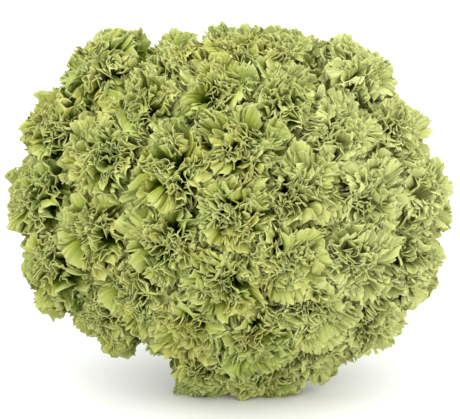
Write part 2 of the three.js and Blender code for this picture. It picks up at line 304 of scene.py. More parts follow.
class Bunch:
    """All the flowers and how the bunch lies on the table."""

    def __init__(self, upper_band_middle: Vector) -> None:
        """Places the flowers, leans the bunch and finds it in the frame.

        Args:
            upper_band_middle: the middle of the upper band's solid, in metres in the frame.
        """
        self.flowers = place_flowers()
        self.left_foot = next(flower for flower in self.flowers if flower.rim)
        lowest = min(self.flowers, key=lambda flower: flower.seat[1])
        foot_y = -(RINGS[RIM].packed + CAD_STEM_FOOT)
        across_y = lowest.seat[1] - foot_y
        across_z = lowest.seat[2] + STEM_TAIL
        clear = PETAL_LENGTH - PRESSED
        self.lean = math.asin(clear / math.hypot(across_y, across_z)) + math.atan2(-across_y, across_z)
        self.rise = -foot_y * math.cos(self.lean) + STEM_TAIL * math.sin(self.lean)
        self.up = np.array((0.0, math.cos(self.lean), math.sin(self.lean)))
        turn = Matrix.Rotation(math.pi / 2.0 - self.lean, 4, "X")
        shift = upper_band_middle / MM - turn @ Vector((0.0, 0.0, UPPER_BAND))
        self.to_frame = Matrix.Scale(MM, 4) @ Matrix.Translation(shift) @ turn

    def lifted(self, points: np.ndarray, clear: float) -> np.ndarray:
        """Lifts points that would lie in the table to the least height that they may have."""
        return points + np.outer(np.maximum(clear - self.rise - points @ self.up, 0.0), self.up)

    def walls(self, flower: Flower) -> list[Wall]:
        """Finds what keeps a head clear of the heads near it and of the table, which comes last.

        Args:
            flower: the flower whose head it is.

        Returns:
            The head's walls.
        """
        walls = []
        for other in self.flowers:
            apart = other.middle - flower.middle
            distance = float(np.linalg.norm(apart))
            if 0.0 < distance < NEAR_HEADS:
                normal = apart / distance
                limit = float(normal @ flower.middle) + distance / 2.0 - PETAL_GAP / 2.0
                pair = min(flower.seed, other.seed) * 37.0 + max(flower.seed, other.seed)
                walls.append(Wall(normal, limit, pair, 1.0 if flower.seed < other.seed else -1.0))
        if flower is self.left_foot:
            walls.append(Wall(np.array((-1.0, 0.0, 0.0)), NOTCH_SIDE, 0.0, 1.0))
        return walls + [Wall(-self.up, self.rise - TABLE_GAP, 0.0, 0.0)]


# ---- making meshes ----

Shape = Callable[[np.ndarray, np.ndarray], np.ndarray]
SHEET_UV = "petal"
SEAM = 0.01


def new_mesh() -> bmesh.types.BMesh:
    """Starts a mesh in which each sheet gets its own coordinates."""
    bm = bmesh.new()
    bm.loops.layers.uv.new(SHEET_UV)
    return bm


def shaped_sheet(bm: bmesh.types.BMesh, columns: int, rows: int, shape: Shape) -> list[bmesh.types.BMVert]:
    """Adds a grid and bends it to a shape.

    Args:
        bm: the mesh being built. Its active UV layer gets the sheet's own coordinates.
        columns: faces across.
        rows: faces along.
        shape: gives points for arrays of places across, from -1 to 1, and along, from 0 to 1.

    Returns:
        The sheet's vertices.
    """
    verts = bmesh.ops.create_grid(bm, x_segments=columns, y_segments=rows, size=1.0, calc_uvs=True)["verts"]
    flat = np.array([vert.co[:2] for vert in verts])
    for vert, point in zip(verts, shape(flat[:, 0], (flat[:, 1] + 1.0) / 2.0)):
        vert.co = point
    return verts


def shaped_tube(bm: bmesh.types.BMesh, columns: int, rows: int, shape: Shape) -> None:
    """Adds a grid that a shape rolls up, and joins its seam, with the arguments of shaped_sheet."""
    bmesh.ops.remove_doubles(bm, verts=shaped_sheet(bm, columns, rows, shape), dist=SEAM)


def finished_piece(
    name: str, bm: bmesh.types.BMesh, place: Matrix, materials: Sequence[bpy.types.Material]
) -> bpy.types.Object:
    """Turns a finished bmesh into a piece of the object.

    Args:
        name: the piece's name.
        bm: the mesh, in the bunch's frame. It is freed here.
        place: the bunch's place in the frame.
        materials: the piece's materials, in the order of its faces' material indices.

    Returns:
        The piece, riding on the one body.
    """
    bmesh.ops.transform(bm, matrix=place, verts=bm.verts)
    for face in bm.faces:
        face.smooth = True
    mesh = bpy.data.meshes.new(name)
    bm.to_mesh(mesh)
    bm.free()
    for material in materials:
        mesh.materials.append(material)
    piece = bpy.data.objects.new(name, mesh)
    bpy.context.scene.collection.objects.link(piece)
    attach(piece, "root")
    log.info("%s: %d faces", name, len(mesh.polygons))
    return piece


def give_wall(piece: bpy.types.Object, thickness: float) -> None:
    """Gives a sheet its thickness.

    Args:
        piece: the piece, whose mesh is a sheet in the middle of its wall.
        thickness: the wall, in millimetres.
    """
    wall = piece.modifiers.new("wall", "SOLIDIFY")
    wall.thickness = thickness * MM
    wall.offset = 0.0
    wall.use_even_offset = False


# ---- materials ----

GREEN_FLESH = {"IOR": 1.42, "Subsurface_Radius": (0.6, 1.0, 0.3), "Subsurface_Scale": MM}


def linear(code: str) -> tuple[float, float, float, float]:
    """Turns an sRGB colour such as #a1b2c3 into linear light.

    Args:
        code: the colour as a hex value.

    Returns:
        Red, green, blue and an alpha of 1.
    """
    values = [int(code[k : k + 2], 16) / 255.0 for k in (1, 3, 5)]
    red, green, blue = (v / 12.92 if v <= 0.04045 else ((v + 0.055) / 1.055) ** 2.4 for v in values)
    return red, green, blue, 1.0


def scale(size: float) -> float:
    """Returns the scale of a noise whose patches are so many millimetres wide."""
    return float(round(1.0 / (size * MM)))


class Lay(Enum):
    """How a coat of colour lies on the one below it."""

    OVER = "MIX"
    SHADE = "MULTIPLY"


@dataclass(frozen=True)
class Coat:
    """A colour laid over others.

    Attributes:
        share: how much of it there is at each place.
        code: the colour.
        lay: how it lies.
    """

    share: bpy.types.Node | bpy.types.NodeSocket
    code: str
    lay: Lay = Lay.OVER


class NodeSheet:
    """A material's node tree, with one way to add to it."""

    def __init__(self, name: str) -> None:
        """Makes an empty material with that name."""
        self.material = bpy.data.materials.new(name)
        self.material.use_nodes = True
        self.tree = self.material.node_tree
        self.tree.nodes.clear()

    def add(self, kind: str, settings: dict | None = None, **inputs: object) -> bpy.types.Node:
        """Adds a node with its settings and links.

        Args:
            kind: the node's type, without its ShaderNode prefix.
            settings: the node's own properties.
            **inputs: a value, a hex colour, an output socket, or a node whose first output is meant. An
                underscore in a name stands for a space, and a name such as i2 picks an input by its number.

        Returns:
            The node.
        """
        node = self.tree.nodes.new("ShaderNode" + kind)
        for key, value in (settings or {}).items():
            setattr(node, key, value)
        for key, value in inputs.items():
            numbered = key[0] == "i" and key[1:].isdigit()
            socket = node.inputs[int(key[1:])] if numbered else node.inputs[key.replace("_", " ")]
            if isinstance(value, bpy.types.Node):
                value = value.outputs[0]
            if isinstance(value, bpy.types.NodeSocket):
                self.tree.links.new(value, socket)
            else:
                socket.default_value = linear(value) if isinstance(value, str) else value
        return node

    def dressed(self, colour: object, coats: Sequence[Coat], **looks: object) -> bpy.types.Material:
        """Lays coats of colour over one another and gives the material its surface.

        Args:
            colour: below all the coats.
            coats: from the lowest up.
            **looks: the surface's other inputs.

        Returns:
            The material.
        """
        for coat in coats:
            settings = {"data_type": "RGBA", "blend_type": coat.lay.value}
            colour = self.add("Mix", settings, i0=coat.share, i6=colour, i7=coat.code).outputs[2]
        self.add("OutputMaterial", Surface=self.add("BsdfPrincipled", Base_Color=colour, **looks))
        return self.material


@dataclass(frozen=True)
class PetalFinish:
    """The skin of carnation petals: thin, matt and watery, so that a little light spreads inside them.

    The colour runs along each petal, from the deep yellow-green claw to the pale, toothed edge, with fine
    veins that fan out to it; the throat and claw are darkened further with painted shade. Each petal is a
    little greener than the next, with yellower and cooler patches. Painted shade also dims petals deep inside
    a head, and painted light makes those on the bunch's lit side paler.

    Attributes:
        stops: places along a petal with their colours, from the throat to the edge. The dark throat and claw
            are partly the petal's own deep green and partly painted shade.
        warm: the yellower patches.
        cool: the cooler patches and petals.
        pale: painted light: a paler colour laid over petals on the bunch's lit side, where the light falls
            most.
        claw: the veins.
        deep: painted shade: a darker green laid over petals deep inside a head, where little light comes down.
        worn: dry edges of old petals.
        patch: width of the patches, in millimetres.
        light_depth: how far light spreads inside a petal, in metres.
    """

    # The throat's and claw's dark colours are partly the petal's own green and partly painted shade.
    stops: tuple[tuple[float, str], ...] = (
        (0.14, "#34440a"),
        (0.36, "#64790f"),
        (0.54, "#95a136"),
        (0.72, "#b4ba61"),
        (0.94, "#c7ca86"),
    )
    warm: str = "#b6b249"
    cool: str = "#9ab162"
    pale: str = "#ccd28c"
    claw: str = "#64790f"
    deep: str = "#7f9434"
    worn: str = "#a08a4c"
    patch: float = 26.3
    light_depth: float = 0.5 * MM

    def make(self) -> bpy.types.Material:
        """Returns the petals' material."""
        sheet = NodeSheet("carnation_petal")
        place = sheet.add("UVMap", {"uv_map": SHEET_UV})
        along = sheet.add("SeparateXYZ", Vector=place).outputs["Y"]
        # Each vertex's marks: a tone at random, its age, painted light on the bunch's lit side and painted
        # shade deep in a head.
        tone, age, pale, deep = (
            sheet.add("Attribute", {"attribute_name": mark}).outputs["Fac"] for mark in PETAL_MARKS
        )
        where = sheet.add("TexCoord").outputs["Object"]
        cloud = sheet.add("TexNoise", Vector=where, Scale=scale(self.patch), Detail=4.0)
        uneven = sheet.add("Math", {"operation": "MULTIPLY_ADD"}, i0=cloud, i1=0.16, i2=-0.08)
        reach = sheet.add("Math", {"operation": "ADD"}, i0=along, i1=uneven)
        ramp = sheet.add("ValToRGB", Fac=reach)
        elements = ramp.color_ramp.elements
        while len(elements) < len(self.stops):
            elements.new(0.5)
        for element, (position, code) in zip(elements, self.stops):
            element.position = position
            element.color = linear(code)
        # About a vein for each millimetre of the edge: coarser than the real ones, so that they show.
        fan = sheet.add("Mapping", Vector=place, Scale=(26.0, 1.4, 1.0))
        vein = sheet.add("TexNoise", Vector=fan, Scale=1.0, Detail=2.0)
        tips = sheet.add("MapRange", Value=reach, i1=0.86, i2=1.0)
        coats = (
            Coat(sheet.add("Math", {"operation": "MULTIPLY"}, i0=tone, i1=0.26), self.cool),
            Coat(sheet.add("MapRange", Value=cloud, i1=0.5, i2=0.34, i4=0.3), self.cool),
            Coat(sheet.add("MapRange", Value=cloud, i1=0.5, i2=0.66, i4=0.4), self.warm),
            # Painted light: petals on the bunch's lit side are paler.
            Coat(pale, self.pale),
            Coat(sheet.add("MapRange", Value=vein, i1=0.35, i2=0.65, i4=0.22), self.claw, Lay.SHADE),
            # Painted shade: petals deep inside a head are darkened.
            Coat(deep, self.deep, Lay.SHADE),
            Coat(sheet.add("Math", {"operation": "MULTIPLY"}, i0=tips, i1=age), self.worn),
        )
        return sheet.dressed(
            ramp,
            coats,
            Normal=sheet.add("Bump", Strength=0.25, Distance=0.4 * MM, Height=vein),
            Roughness=0.62,
            IOR=1.4,
            Specular_IOR_Level=0.02,
            Subsurface_Weight=0.45,
            Subsurface_Radius=(1.0, 0.95, 0.35),
            Subsurface_Scale=self.light_depth,
        )


@dataclass(frozen=True)
class StemFinish:
    """A carnation's stem and calyx: smooth green skin under a thin grey bloom of wax, rubbed off in patches.

    Attributes:
        skin: where the wax is rubbed off.
        wax: where it is whole.
        streak: fine darker streaks.
        patch: width of the patches, in millimetres.
        fine: width of the streaks, drawn coarser than the real ones so that they show.
    """

    skin: str = "#6f8a4a"
    wax: str = "#93a886"
    streak: str = "#55703a"
    patch: float = 14.3
    fine: float = 1.111

    def make(self) -> bpy.types.Material:
        """Returns the stems' material."""
        sheet = NodeSheet("waxy_stem")
        where = sheet.add("TexCoord").outputs["Object"]
        cloud = sheet.add("TexNoise", Vector=where, Scale=scale(self.patch), Detail=4.0)
        fine = sheet.add("TexNoise", Vector=where, Scale=scale(self.fine), Detail=2.0)
        coats = (
            Coat(sheet.add("MapRange", Value=cloud, i1=0.35, i2=0.65), self.wax),
            Coat(sheet.add("MapRange", Value=fine, i1=0.55, i2=0.75, i4=0.35), self.streak),
        )
        relief = sheet.add("Bump", Strength=0.2, Distance=0.3 * MM, Height=fine)
        return sheet.dressed(
            self.skin, coats, Normal=relief, Roughness=0.5, Subsurface_Weight=0.1, **GREEN_FLESH
        )


@dataclass(frozen=True)
class LeafFinish:
    """A carnation's leaf: narrow, grey-green with wax, paler along the keel and at the dry tip.

    Attributes:
        blade: the waxy blade.
        shade: where the wax is thin.
        keel: along the middle.
        tip: the dry tip.
        patch: width of the patches, in millimetres.
    """

    blade: str = "#7d9a7c"
    shade: str = "#5f7d58"
    keel: str = "#a4b792"
    tip: str = "#b6ae72"
    patch: float = 9.1

    def make(self) -> bpy.types.Material:
        """Returns the leaves' material."""
        sheet = NodeSheet("waxy_leaf")
        place = sheet.add("UVMap", {"uv_map": SHEET_UV})
        parts = sheet.add("SeparateXYZ", Vector=place).outputs
        where = sheet.add("TexCoord").outputs["Object"]
        cloud = sheet.add("TexNoise", Vector=where, Scale=scale(self.patch), Detail=4.0)
        side = sheet.add("Math", {"operation": "SUBTRACT"}, i0=parts["X"], i1=0.5)
        off_keel = sheet.add("Math", {"operation": "ABSOLUTE"}, i0=side)
        # A vein for each 0.2 mm across the leaf.
        lines = sheet.add("Mapping", Vector=place, Scale=(30.0, 0.8, 1.0))
        vein = sheet.add("TexNoise", Vector=lines, Scale=1.0, Detail=2.0)
        coats = (
            Coat(sheet.add("MapRange", Value=cloud, i1=0.3, i2=0.7), self.blade),
            Coat(sheet.add("MapRange", Value=off_keel, i1=0.03, i2=0.12, i3=0.7, i4=0.0), self.keel),
            Coat(sheet.add("MapRange", Value=parts["Y"], i1=0.9, i2=1.0, i4=0.8), self.tip),
        )
        relief = sheet.add("Bump", Strength=0.3, Distance=0.3 * MM, Height=vein)
        return sheet.dressed(
            self.shade, coats, Normal=relief, Roughness=0.52, Subsurface_Weight=0.15, **GREEN_FLESH
        )


@dataclass(frozen=True)
class RubberFinish:
    """A crêpe rubber band: tan, slightly dusty and semi-matt, with a fine grain where it is stretched.

    Attributes:
        body: the rubber.
        dust: what lies on it.
        patch: width of the dust's patches, in millimetres.
        grain: width of the grain, drawn coarser than the real one so that it shows.
    """

    body: str = "#b88a4e"
    dust: str = "#cba671"
    patch: float = 6.25
    grain: float = 0.6667

    def make(self) -> bpy.types.Material:
        """Returns the bands' material."""
        sheet = NodeSheet("tan_rubber")
        where = sheet.add("TexCoord").outputs["Object"]
        cloud = sheet.add("TexNoise", Vector=where, Scale=scale(self.patch), Detail=4.0)
        grain = sheet.add("TexNoise", Vector=where, Scale=scale(self.grain), Detail=2.0)
        coats = (Coat(sheet.add("MapRange", Value=cloud, i1=0.35, i2=0.7), self.dust),)
        relief = sheet.add("Bump", Strength=0.25, Distance=0.2 * MM, Height=grain)
        return sheet.dressed(self.body, coats, Normal=relief, Roughness=0.55, IOR=1.52)


@dataclass(frozen=True)
class PaperFinish:
    """The studio's seamless paper: plain and matt, so that it shows soft shadows and no shine.

    Attributes:
        white: the paper, nearly white.
    """

    white: str = "#f3f3f1"

    def make(self) -> bpy.types.Material:
        """Returns the floor's material."""
        return NodeSheet("studio_paper").dressed(self.white, (), Roughness=0.9)


# ---- petals ----

# The marks laid on each vertex of a head: a tone at random, its age, painted light on the bunch's lit side,
# and painted shade deep inside the head.
PETAL_MARKS = ("tone", "age", "pale", "deep")
FACE_WIDTH = 0.97
FEWEST_COLUMNS = 18
HIDDEN_COLUMNS = 12
SEED_STEP = 1.37
TOOTH_OUTLINE = (0.0, 0.45, 1.0, 0.45)


@dataclass(frozen=True)
class Petal:
    """One petal's place in its head.

    Attributes:
        turn: its direction round the head's axis.
        share: where its edge stands between the axis and the end of the head's room.
        half: half its width at the edge.
        length: from the seat to the edge.
        lie: 0 for a petal that stands straight, 1 for one that bends over.
        seed: what makes it differ from the others.
        middle: where the axis of its tuft ends, across the head. The head's own axis is (0, 0).
        radius: of its tuft, or 0 where it spreads to the end of the head's room.
        hidden: whether it only closes the view between heads, from low down in a corner.
    """

    turn: float
    share: float
    half: float
    length: float
    lie: float
    seed: float
    middle: tuple[float, float] = (0.0, 0.0)
    radius: float = 0.0
    hidden: bool = False

    @property
    def columns(self) -> int:
        """Faces across the petal."""
        return HIDDEN_COLUMNS if self.hidden else max(2 * round(self.half / FACE_WIDTH), FEWEST_COLUMNS)


@dataclass
class CarnationHead:
    """A head of a carnation: whorls of petals, each a narrow claw that opens to a ruffled, toothed fan.

    Attributes:
        flower: where it stands.
        bunch: the bunch that it presses against.
        guards: how many guard petals it has.
        guard_length: length of those, as a share of the usual.
        guard_half: half their width.
        corner_length: least length of a guard petal, as a share of the way to the corner that it fills.
        rim_shorter: how much less that is on the bunch's free rim.
        skirt_half: half the width of the hidden petals, two low down in each corner.
        skirt_turn: how far those are turned from the corner, in radians.
        skirt_length: their length, as a share of the way to the corner.
        skirt_reach: where their edges stand, as a share of the head's room.
        outer: how many outer petals it has.
        outer_half: half their width.
        outer_length: their length, as a share of the usual.
        reach: where the outermost petals' edges stand, as a share of the head's room.
        inner_share: where the innermost of the outer petals stand.
        tufts: the fewest tufts of small petals that it has, the first in the middle. Some heads have one more.
        tuft_place: how far the other tufts' axes end from the head's, as a share of its room.
        tuft_radius: how far a tuft's petals spread.
        tuft_petals: how many petals a tuft has.
        tuft_half: half the width of its outermost petals.
        inner_half: half the width of its innermost petals.
        width_strays: how far a petal's width strays, as a share.
        spiral: how much further out one side of a petal stands than the other, as a share of the room.
        rows: faces along a petal.
        thickness: of a petal.
        claw: half the width of a petal's claw.
        claw_depth: how far below the calyx's edge the claw starts.
        opening: where along a petal its outer part starts to ripple and turn outwards.
        flare: how far that part turns outwards.
        ruffle: how far a petal's edge waves from its middle surface.
        wavelength: of the ruffles.
        frill: how far the finest waves at the very edge stray.
        lobe: how far the petal's few large folds stray.
        slant: how far the ruffles lean, in radians.
        tooth: depth of the edge's teeth.
        notch: depth of the few deeper notches between them.
        sways: sizes and lengths of the slow waves that shift a head's petals together.
        flatness: how flat the head's top is: the exponent of its curve.
        rim_flatness: the same for heads on the rim.
        give: how softly petals meet the end of their room.
        slack: how far hidden petals may reach in under a neighbour's.
        probe: how far from a head's axis its room is measured.
        least_room: the least that a head may have on one side.
        least_slope: the least share of a direction that goes towards a wall, for the wall to count in it.
        dome_radius: of the domed surface below which a petal's painted shade is measured.
        lit_depth: how deep a petal may lie below that surface before its painted shade starts.
        dark_depth: where its painted shade is full.
        lit_rim: how far from the axis a free rim's painted shade starts to fade, as light falls on it from the
            side, and where it has gone.
        painted_light: how much paler, with painted light, the petals on the bunch's lit side become, which
            also lifts their painted shade.
        painted_light_from: how far to that side of the bunch's middle the painted light starts.
        painted_light_over: over what distance it grows.
        walls: what keeps the head in.
        open_radius: how far it spreads where no neighbour stands.
    """

    flower: Flower
    bunch: Bunch
    guards: int = 8
    guard_length: float = 0.93
    guard_half: float = 18.0
    corner_length: float = 1.1
    rim_shorter: float = 0.3
    skirt_half: float = 20.0
    skirt_turn: float = 0.24
    skirt_length: float = 1.12
    skirt_reach: float = 1.3
    outer: int = 11
    outer_half: float = 15.5
    outer_length: float = 1.07
    reach: float = 1.1
    inner_share: float = 0.74
    tufts: int = 5
    tuft_place: float = 0.53
    tuft_radius: float = 12.5
    tuft_petals: int = 5
    tuft_half: float = 11.5
    inner_half: float = 6.5
    width_strays: float = 0.18
    spiral: float = 0.05
    rows: int = 8
    thickness: float = 0.42
    claw: float = 2.3
    claw_depth: float = 4.0
    opening: float = 0.58
    flare: float = 3.6
    ruffle: float = 3.1
    wavelength: float = 6.4
    frill: float = 0.7
    lobe: float = 2.4
    slant: float = 2.4
    tooth: float = 2.6
    notch: float = 2.4
    sways: tuple[tuple[float, float], ...] = ((2.2, 4.6), (0.8, 2.1))
    flatness: float = 4.2
    rim_flatness: float = 3.2
    give: float = 1.5
    slack: float = 8.0
    probe: float = 22.0
    least_room: float = 2.0
    least_slope: float = 0.05
    dome_radius: float = 150.0
    lit_depth: float = 4.0
    dark_depth: float = 17.0
    lit_rim: tuple[float, float] = (8.0, 24.0)
    painted_light: float = 0.85
    painted_light_from: float = 22.0
    painted_light_over: float = 38.0
    walls: list[Wall] = field(init=False)
    open_radius: float = field(init=False)

    def __post_init__(self) -> None:
        """Looks up the head's walls and its free side. The rim's flowers come last in the bunch."""
        self.walls = self.bunch.walls(self.flower)
        place = self.flower.seed - 1 - len(self.bunch.flowers)
        self.open_radius = OPEN_RADII[place] if self.flower.rim else CORNER_RADIUS

    def room(self, turn: np.ndarray, height: np.ndarray) -> np.ndarray:
        """Finds how far petals can spread.

        Args:
            turn: directions round the head's axis.
            height: heights above the seat.

        Returns:
            The distance from the axis to the nearest wall in each direction.
        """
        flower = self.flower
        direction = np.outer(np.cos(turn), flower.outward) + np.outer(np.sin(turn), flower.level)
        origin = flower.seat + np.outer(height, flower.facing)
        free = np.clip(direction @ flower.out, 0.0, 1.0) * flower.rim
        widest = lerp(CORNER_RADIUS, self.open_radius, smooth(0.0, 0.48, free))
        for wall in self.walls:
            towards = direction @ wall.normal
            faced = towards > self.least_slope
            gap = self.probe - wall.over(origin + self.probe * direction) / np.where(faced, towards, 1.0)
            widest = np.where(faced, np.minimum(widest, np.maximum(gap, self.least_room)), widest)
        return widest

    def room_at(self, turn: float, share: float) -> float:
        """Returns the room in one direction, at a share of a petal's height."""
        return float(self.room(np.array([turn]), np.array([share * PETAL_LENGTH]))[0])

    def kept_in(self, points: np.ndarray, slack: float) -> np.ndarray:
        """Presses points softly back inside the head's walls.

        Args:
            points: points of a petal.
            slack: how far they may reach in under the petals of a neighbour.

        Returns:
            The same points, none of them beyond a wall.
        """
        for wall in self.walls:
            over = wall.over(points) + self.give - slack * abs(wall.sign)
            pressed = self.give * (1.0 - np.exp(-np.maximum(over, 0.0) / self.give))
            points = points - np.outer(np.where(over > 0.0, over - pressed, 0.0), wall.normal)
        return points

    def corners(self) -> list[float]:
        """Returns the directions in which the head's room reaches furthest, the furthest first."""
        turns = np.linspace(0.0, FULL_TURN, 90, endpoint=False)
        room = self.room(turns, np.full_like(turns, 0.6 * PETAL_LENGTH))
        peaks = np.where((room >= np.roll(room, 1)) & (room > np.roll(room, -1)))[0]
        return [float(turns[k]) for k in sorted(peaks, key=lambda k: -room[k])]

    def petals(self) -> list[Petal]:
        """Returns the head's petals from the outermost in.

        Guard petals bend over and fill the corners of the head's room, and hidden petals close those low
        down. Long outer petals stand inside them, and several tufts of smaller petals fill the middle.
        """
        head = self.flower.seed * 101.0
        turned = FULL_TURN * chance(head)
        corners = self.corners()
        led = corners[: self.guards - 2]
        freedom = float(self.flower.outward @ self.flower.out) * self.flower.rim
        placed = []
        for i in range(self.guards + self.outer):
            seed = head + SEED_STEP * (i + 1)
            turn = led[i] if i < len(led) else turned + GOLDEN_ANGLE * i + 0.25 * stray(seed)
            wide = 1.0 + self.width_strays * stray(seed + 8)
            long = PETAL_LENGTH * (1.0 + 0.05 * stray(seed + 2))
            if i < self.guards:
                open_side = 1.0 - self.rim_shorter * max(freedom * math.cos(turn), 0.0)
                reach = self.corner_length * self.room_at(turn, 0.6) * open_side
                long = max(long * self.guard_length, reach)
                placed.append(Petal(turn, self.reach, self.guard_half * wide, long, 1.0, seed))
                continue
            inwards = (i - self.guards) / self.outer
            share = lerp(self.reach, self.inner_share, inwards) + 0.04 * stray(seed + 1)
            lie = 0.8 * chance(seed + 6) ** 1.5
            placed.append(Petal(turn, share, self.outer_half * wide, long * self.outer_length, lie, seed))
        for k, (corner, side) in enumerate(itertools.product(corners, (-1.0, 1.0))):
            turn = corner + side * self.skirt_turn
            seed = head + 40.0 + 1.1 * k
            long = self.skirt_length * self.room_at(corner, 0.4)
            placed.append(Petal(turn, self.skirt_reach, self.skirt_half, long, 1.0, seed, hidden=True))
        tufts = self.tufts + int(chance(head + 50.0) > 0.5)
        for k in range(tufts):
            seed = head + 60.0 + 7.7 * k
            way = turned + FULL_TURN * (k + 0.25 * stray(seed)) / (tufts - 1)
            off = self.tuft_place * self.room_at(way, 0.75) * (1.0 + 0.12 * stray(seed + 1)) * (k > 0)
            middle = (off * math.cos(way), off * math.sin(way))
            tall = PETAL_LENGTH * (1.03 + 0.05 * stray(seed + 2))
            for i in range(self.tuft_petals):
                seed += SEED_STEP
                share = 1.0 - (i + 0.4 * chance(seed)) / self.tuft_petals
                wide = 1.0 + self.width_strays * stray(seed + 8)
                half = lerp(self.inner_half, self.tuft_half, share) * wide
                turn = way + GOLDEN_ANGLE * i + 0.3 * stray(seed + 3)
                long = tall * (1.0 + 0.03 * stray(seed + 2))
                lie = 0.6 * chance(seed + 6)
                placed.append(Petal(turn, share, half, long, lie, seed, middle, self.tuft_radius))
        return placed

    def petal_shape(self, petal: Petal) -> Shape:
        """Gives the shape of one petal.

        Args:
            petal: its place and size.

        Returns:
            A function from places across and along the petal to points.
        """
        seed, share, length, tuft = petal.seed, petal.share, petal.length, petal.radius > 0.0
        spiral = self.spiral * (1.0 if chance(self.flower.seed) > 0.5 else -1.0)
        phase = FULL_TURN * chance(seed + 3)
        ruffle = self.ruffle * (0.7 + 0.6 * chance(seed + 4)) * min(1.0, 0.5 + share)
        wavelength = self.wavelength * (0.8 + 0.4 * chance(seed + 5)) * (0.75 + 0.25 * share)
        bend = 1.0 + share * lerp(0.0, 1.2, petal.lie)
        crown = 1.2 + share * lerp(0.0, 0.8, petal.lie)
        flare = self.flare * (0.65 if tuft else 1.0) * (0.5 + 0.5 * share) * (0.5 + chance(seed + 20))
        slant = self.slant * stray(seed + 12)
        flat = self.rim_flatness if self.flower.rim else self.flatness
        base = 1.0 + (2.4 if tuft else 5.2) * share
        outer_part = 1.0 - self.opening

        def room(turn: np.ndarray) -> np.ndarray:
            """Returns how far the petal can spread in each direction."""
            height = np.full_like(turn, 0.75 * length)
            return np.full_like(turn, petal.radius) if tuft else self.room(turn, height)

        def shape(u: np.ndarray, v: np.ndarray) -> np.ndarray:
            """Returns the petal's points."""
            # The outline: rows crowd towards the edge, and each tooth of it spans four columns.
            v = 1.0 - (1.0 - v) ** 1.5
            column = np.rint((u + 1.0) * petal.columns / 2.0)
            teeth = self.tooth * (0.5 + 0.5 * chance(seed + np.rint(column / 4.0 + 0.01) * 0.37))
            teeth = teeth * np.choose((column % 4).astype(int), TOOTH_OUTLINE)
            deep = self.notch * smooth(0.75, 0.98, chance(seed + np.floor(column / 4.0) * 1.7))
            outline = 1.0 - 0.1 * np.abs(u) ** 2.6 - (teeth + deep) / length
            along = v * (1.0 + (outline - 1.0) * v**5)
            # The direction round the axis: the claw opens to a fan.
            edge_radius = np.maximum(share * room(np.full_like(u, petal.turn)), petal.half / 2.6)
            width = lerp(self.claw, petal.half, smooth(0.12, 1.05, along) * 0.6 + 0.4 * along)
            turn = petal.turn + u * width / np.maximum(lerp(base, edge_radius, along**bend), 1.2)
            turn = turn + 0.05 * np.sin(3.1 * v + phase)
            # The middle surface: it rises under the head's domed top, and its outer part turns outwards.
            spread = np.clip((share + spiral * u) * room(turn), 0.6, 0.96 * length)
            far = np.hypot(petal.middle[0] + spread * np.cos(turn), petal.middle[1] + spread * np.sin(turn))
            top = length * (1.0 - np.minimum(far / length, 0.96) ** flat) ** (1.0 / flat) + self.claw_depth
            blade = np.minimum(flare, 0.6 * spread)
            opened = np.clip((along - self.opening) / outer_part, 0.0, 1.0)
            radius = lerp(base, spread - blade, along**bend) + blade * opened * opened * (3.0 - 2.0 * opened)
            height = -self.claw_depth + top * (1.0 - (1.0 - along) ** crown)
            slope_out = (spread - blade - base) * bend * along ** (bend - 1.0)
            slope_out = slope_out + blade * 6.0 * opened * (1.0 - opened) / outer_part
            slope_up = top * crown * np.maximum(1.0 - along, 0.02) ** (crown - 1.0)
            slope = np.hypot(slope_out, slope_up)
            # The ruffles, lobes and frill, which stand square to that surface.
            warped = u + 0.2 * np.sin(2.9 * u + 2.0 * phase)
            wave = FULL_TURN * (warped * petal.half / wavelength) + phase + slant * (1.0 - v)
            ripe = smooth(self.opening, 1.0, v) ** 1.1
            swing = ruffle * ripe * (np.sin(wave) + 0.35 * np.sin(2.3 * wave + 1.7 * phase))
            swing = swing + self.lobe * smooth(0.25, 1.0, v) * np.sin(0.41 * wave + 2.3 * phase)
            swing = swing + self.frill * smooth(0.8, 1.0, v) * np.sin(2.3 * wave + phase)
            radius = radius + swing * slope_up / slope
            height = height - swing * slope_out / slope - 0.16 * swing**2 * smooth(0.6, 1.0, v)
            turn = turn + 0.9 * ripe * np.sin(2.0 * wave) / np.maximum(radius, 3.0)
            outward = radius * np.cos(turn) + petal.middle[0] * along
            points = self.flower.points(height, outward, radius * np.sin(turn) + petal.middle[1] * along)
            if petal.hidden:
                return self.kept_in(points, self.slack)
            return self.kept_in(points + self.sway(points) * smooth(0.3, 1.0, v)[:, None], 0.0)

        return shape

    def sway(self, points: np.ndarray) -> np.ndarray:
        """Finds the slow, irregular shift of a head's petals.

        Args:
            points: points of petals.

        Returns:
            The shift at each of them.
        """
        own = self.flower.seed * 1.7
        shift = np.zeros_like(points)
        for size, length in self.sways:
            x, y, z = (points / length).T
            turns = (y + 0.7 * z + own, z + 0.8 * x + 2.0 * own, x - 0.6 * y + 3.0 * own)
            shift += size * np.sin(np.stack(turns, axis=1))
            own += 1.3
        return shift

    def depth(self, points: np.ndarray) -> np.ndarray:
        """Finds the painted shade at each point of a head, from how deep it lies among its petals.

        Args:
            points: points of petals.

        Returns:
            The share of painted shade: 0 at the bunch's face and at its free rim, 1 where little light comes
                down to a petal.
        """
        away = points - self.flower.seat
        height = away @ self.flower.facing
        across = away - np.outer(height, self.flower.facing)
        spread = np.linalg.norm(across, axis=1)
        below = PETAL_LENGTH - spread**2 / self.dome_radius / 2.0 - height
        free = np.clip(across @ self.flower.out / np.maximum(spread, 1.0), 0.0, 1.0) * self.flower.rim
        return smooth(self.lit_depth, self.dark_depth, below) * (1.0 - free * smooth(*self.lit_rim, spread))

